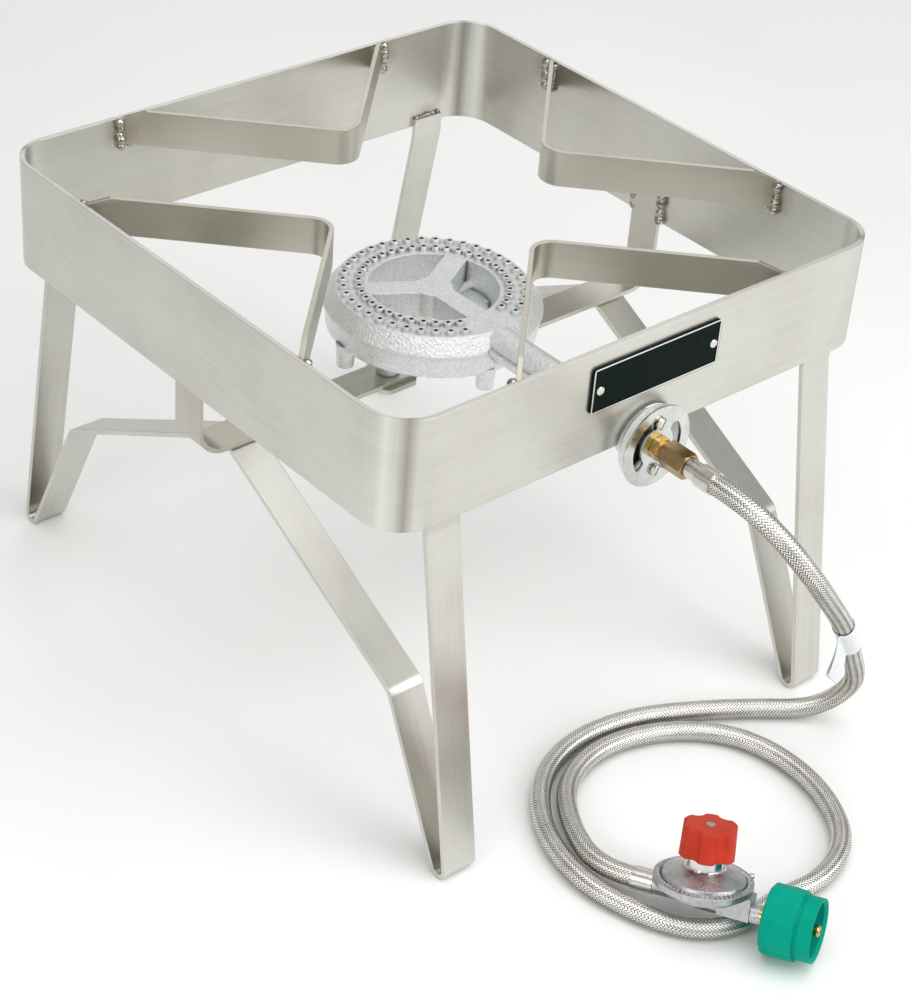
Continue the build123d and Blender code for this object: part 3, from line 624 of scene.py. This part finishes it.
# braided gas hose, from the burner's ferrule to the regulator's ferrule
hose = {
    "diameter": 0.0135, "length": 1.263, "core": 0.0060, "resolution": 24, "roundness": 6,
    "carriers": 20, "angle": 42.0, "radius": 0.00652, "lift": 0.00016, "snap": 1.5,
    "crown": 0.00011, "halfWidth": 0.00070, "steps": 2400,
    "route": [  # in mm
        (0, -264, 248.5), (0, -292, 248.5), (6, -319, 235), (19, -333, 213), (39, -333, 187),
        (65, -325, 158), (94, -314, 123), (119, -303, 88), (138, -295, 62), (149, -289, 41),
        (147, -278, 20), (133, -264, 7.05), (106, -243, 7.05), (67, -218, 7.05),
        (25, -198, 7.05), (-22, -193, 7.05), (-65, -209, 7.05), (-96, -246, 7.05),
        (-108, -293, 7.05), (-99, -336, 7.05), (-82, -369, 7.05), (-53, -383, 7.05),
        (-21, -381, 7.05), (20, -387, 7.05), (59, -370, 7.05), (81, -329, 7.05),
        (84, -285, 7.05), (70, -248, 7.05), (34, -220, 7.05), (-12, -209, 7.05),
        (-54, -222, 7.05), (-82, -257, 11.05), (-95.181, -295.743, 12.275),
        (-84.763, -318.291, 15.105),
    ],
}


def hoseCurve(name, bevel):
    curve = bpy.data.curves.new(name, "CURVE")
    curve.dimensions = "3D"
    spline = curve.splines.new("NURBS")
    spline.points.add(len(hose["route"]) - 1)
    for point, place in zip(spline.points, hose["route"]):
        point.co = (*[value / 1000 for value in place], 1)
    spline.order_u = 3
    spline.use_endpoint_u = True
    curve.resolution_u = hose["resolution"]
    curve.bevel_depth = bevel
    curve.bevel_resolution = hose["roundness"]
    made = bpy.data.objects.new(name, curve)
    scene.collection.objects.link(made)
    return made


def hoseLine():
    guide = hoseCurve("hoseGuide", 0.0)
    bpy.context.view_layer.update()
    mesh = bpy.data.meshes.new_from_object(guide)
    points = np.array([vertex.co for vertex in mesh.vertices], float)
    bpy.data.meshes.remove(mesh)
    bpy.data.objects.remove(guide)
    return points


def carriedFrames(points):
    # side directions carried along the line without twist
    along = np.gradient(points, axis=0)
    along /= np.linalg.norm(along, axis=1)[:, None]
    side = np.cross(along[0], (0, 0, 1))
    sides = []
    for way in along:
        side = side - way * side.dot(way)
        side = side / np.linalg.norm(side)
        sides.append(side)
    sides = np.array(sides)
    return along, sides, np.cross(along, sides)


def lengthAlong(points):
    return np.concatenate([[0], np.cumsum(np.linalg.norm(np.diff(points, axis=0), axis=1))])


def readAt(place, run, values):
    return np.stack([np.interp(place, run, values[:, axis]) for axis in range(3)], 1)


def braidMesh(name, points, hand):
    run = lengthAlong(points)
    along, sides, ups = carriedFrames(points)
    slope = math.radians(hose["angle"])
    turn = math.tan(slope) / hose["radius"]
    count = hose["carriers"]
    at = np.linspace(0, run[-1], hose["steps"])
    crossing = count * turn * at / math.pi
    vertices, faces, uvs = [], [], []
    for carrier in range(count):
        phase = crossing + 2 * carrier if hand > 0 else 2 * carrier - crossing
        over = hand * np.clip(hose["snap"] * np.cos(math.pi / 2 * (phase - 0.5)), -1, 1)
        angle = 2 * math.pi * carrier / count + hand * turn * at
        first = len(vertices) * len(at)
        for across in (-1, 0, 1):
            place = np.clip(at - hand * across * hose["halfWidth"] * math.sin(slope), 0, run[-1])
            swing = angle + across * hose["halfWidth"] * math.cos(slope) / hose["radius"]
            reach = hose["radius"] + hose["lift"] * over + (hose["crown"] if across == 0 else 0)
            ray = readAt(place, run, sides) * np.cos(swing)[:, None]
            ray += readAt(place, run, ups) * np.sin(swing)[:, None]
            vertices.append(readAt(place, run, points) + ray * reach[:, None])
        for lane in range(2):
            a = first + lane * len(at) + np.arange(len(at) - 1)
            b = a + len(at)
            faces.append(np.stack([a, b, b + 1, a + 1], 1))
            left, right = [np.full(len(at) - 1, edge / 2) for edge in (lane, lane + 1)]
            low, high = at[:-1], at[1:]
            uvs.append(np.stack([left, low, right, low, right, high, left, high], 1))
    mesh = bpy.data.meshes.new(name)
    mesh.from_pydata(np.concatenate(vertices).tolist(), [], np.concatenate(faces).tolist())
    layer = mesh.uv_layers.new(name="strand")
    layer.data.foreach_set("uv", np.concatenate(uvs).astype(np.float32).ravel())
    return mesh


# fine wires side by side in each strand; painted shade darkens each strand towards its edges and
# between its wires, the gap colour is painted shade between the strands, and painted shade darkens
# the lower side
strand = {
    "gap": (0.05, 0.046, 0.036), "wire": (0.84, 0.82, 0.76), "bright": (0.99, 0.975, 0.93),
    "wires": 4, "edgeShade": (0.25, 0.9, 0.6, 0.0), "lowerShade": (-0.3, 0.6, 0.6, 1.0), "depth": 0.00003,
}


def braidSteel():
    material, shade, shader = startMaterial("braidSteel", {"Metallic": 1.0})
    lane = shade.node("UVMap", {"uv_map": "strand"})
    across = shade.node("SeparateXYZ", None, {0: lane}, 0)
    wire = shade.maths("SINE", across * (strand["wires"] * 2 * math.pi)) * 0.5 + 0.5
    fromMiddle = abs(across - 0.5) * 2
    cloud = noise(shade, 90.0, 3.0, 0.6)
    turnedUp = shade.node("SeparateXYZ", None, {0: shade.node("TexCoord", out="Normal")}, 2)
    # painted shade and highlight: each strand darker towards its edges, lighter in its middle
    woven = wire * 0.15 + cloud * 0.25 + fromMiddle.between(*strand["edgeShade"])
    tone = woven * turnedUp.between(*strand["lowerShade"])  # painted shade: the braid is darker on its lower side
    colour = tone.ramp((0.2, strand["gap"]), (0.46, strand["wire"]), (0.70, strand["bright"]))
    endMaterial(shade, shader, colour, 0.24 + cloud * 0.12, wire, strand["depth"])
    return material


def buildHose(line):
    core = hoseCurve("hoseCore", hose["core"])
    core.data.use_fill_caps = True
    core.data.materials.append(plastics["hoseRubber"])
    wires = braidSteel()
    braids = []
    for name, hand in (("braidLeft", 1), ("braidRight", -1)):
        braid = bpy.data.objects.new(name, braidMesh(name, line, hand))
        scene.collection.objects.link(braid)
        braid.data.materials.append(wires)
        braid.data.shade_smooth()
        braids.append(braid)
    for piece in (core, *braids):
        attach(piece, "stove")
    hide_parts("braided_hose")
    return core, braids


# blank tag: one strip folded round the hose, its two ends hanging together as a flag
tag = {
    "middle": (0.0935, -0.3140, 0.1230), "half": 0.0235, "reach": 0.00735, "flag": 0.031,
    "narrow": 0.58, "curl": 0.0022, "twist": 14.0, "parting": 0.0010, "thickness": 0.0003,
    "ripple": 0.0012, "rippleAlong": 2.6, "rippleDown": 4, "openEnd": 1.2,
    "stations": 13, "flagRows": 12, "wrapRows": 22,
    "shaded": (0.74, 0.77, 0.80), "white": (0.86, 0.88, 0.90),
}


def tagSheet():
    material, shade, shader = startMaterial("tagSheet", {"Specular IOR Level": 0.4})
    crease = noise(shade, 190.0, 4.0, 0.6)
    skin = noise(shade, 1500.0, 2.0, 0.5)
    colour = crease.ramp((0.3, tag["shaded"]), (0.65, tag["white"]))
    endMaterial(shade, shader, colour, 0.36 + crease * 0.2, crease + skin * 0.1, 0.0007)
    return material


def tagPoint(spot, way, share, row):
    # across the strip: up one side of the flag, round the hose, down the other side
    down = Vector((0, 0, -1))
    across = way.cross(Vector((0, 0, 1))).normalized()
    under = across.cross(way) * -1
    last = 2 * tag["flagRows"] + tag["wrapRows"]
    if tag["flagRows"] <= row <= last - tag["flagRows"]:
        turn = 2 * math.pi * (row - tag["flagRows"]) / tag["wrapRows"]
        return spot + (under * math.cos(turn) + across * math.sin(turn)) * tag["reach"]
    ply = 1 if row < tag["flagRows"] else -1
    drop = (tag["flagRows"] - row if ply > 0 else row - last + tag["flagRows"]) / tag["flagRows"]
    twist = Matrix.Rotation(math.radians(-tag["twist"] * drop), 3, "Z")
    spread = way * (share * tag["half"])
    pinch = twist @ spread * (1 - tag["narrow"] * drop) - spread
    wave = math.sin(tag["rippleAlong"] * share + tag["rippleDown"] * drop)
    swing = tag["curl"] * drop ** 2 + tag["ripple"] * wave * drop
    swing += ply * tag["parting"] * drop * (tag["openEnd"] - share) / 2
    return spot + under * tag["reach"] + down * (tag["flag"] * drop) + pinch - across * swing


def hoseTag(line):
    run = lengthAlong(line)
    along = carriedFrames(line)[0]
    centre = run[np.argmin(np.linalg.norm(line - np.array(tag["middle"]), axis=1))]
    rows = 2 * tag["flagRows"] + tag["wrapRows"]
    bpy.ops.object.select_all(action="DESELECT")
    bpy.ops.mesh.primitive_grid_add(
        x_subdivisions=tag["stations"] - 1, y_subdivisions=rows, size=2)
    piece = bpy.context.object
    for vertex in piece.data.vertices:
        share, row = vertex.co.x, round((vertex.co.y + 1) / 2 * rows)
        at = [centre + share * tag["half"]]
        spot = Vector(readAt(at, run, line)[0])
        way = Vector(readAt(at, run, along)[0]).normalized()
        vertex.co = tagPoint(spot, way, share, row)
    applied(piece, "SOLIDIFY", thickness=tag["thickness"], offset=0.0)
    applied(piece, "SUBSURF", levels=1, render_levels=1)
    bpy.ops.object.shade_smooth()
    finishPiece(piece, "hoseTag", "stove", tagSheet())
    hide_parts("hose_tag")
    return piece


guideLine = hoseLine()
hoseCore, hoseBraids = buildHose(guideLine)
tagPiece = hoseTag(guideLine)
print("hose laid")

# pale floor and soft light
stage = {
    "floor": 7.0, "level": -0.0005, "pale": (0.93, 0.93, 0.925), "paler": (0.96, 0.96, 0.955),
}


def buildStage():
    bpy.ops.object.select_all(action="DESELECT")
    bpy.ops.mesh.primitive_plane_add(size=stage["floor"], location=(0, 0, stage["level"]))
    floor = bpy.context.object
    floor.name = "studioFloor"
    material, shade, shader = startMaterial("studioFloor", {"Specular IOR Level": 0.2})
    cloud = noise(shade, 3.0, 2.0, 0.5)
    colour = cloud.ramp((0.3, stage["pale"]), (0.7, stage["paler"]))
    endMaterial(shade, shader, colour, 0.7 + cloud * 0.1, cloud, 0.0001)
    floor.data.materials.append(material)


lights = {
    "topSoftbox": {"place": (-0.1, -0.7, 2.2), "aim": (0.05, -0.25, 0.1), "size": 2.0, "power": 26},
    "leftSoftbox": {"place": (-2.2, -0.6, 1.2), "aim": (0, 0, 0.2), "size": 1.0, "power": 11},
    "frontSoftbox": {"place": (0.9, -2.2, 1.4), "aim": (0, 0, 0.15), "size": 1.8, "power": 27},
    "backSoftbox": {"place": (1.5, 1.7, 1.5), "aim": (0, 0, 0.25), "size": 1.6, "power": 6},
}
sky = {"colour": (1.0, 1.0, 0.985, 1), "strength": 0.44}


def buildLights():
    for name, box in lights.items():
        data = bpy.data.lights.new(name, "AREA")
        data.size = box["size"]
        data.energy = box["power"]
        lamp = bpy.data.objects.new(name, data)
        lamp.location = box["place"]
        back = Vector(box["place"]) - Vector(box["aim"])
        lamp.rotation_euler = back.to_track_quat("Z", "Y").to_euler()
        scene.collection.objects.link(lamp)
    world = bpy.data.worlds.new("studioWorld")
    world.use_nodes = True
    background = world.node_tree.nodes["Background"]
    background.inputs["Color"].default_value = sky["colour"]
    background.inputs["Strength"].default_value = sky["strength"]
    scene.world = world


buildStage()
buildLights()
print("stage and lights set")

bpy.context.view_layer.update()
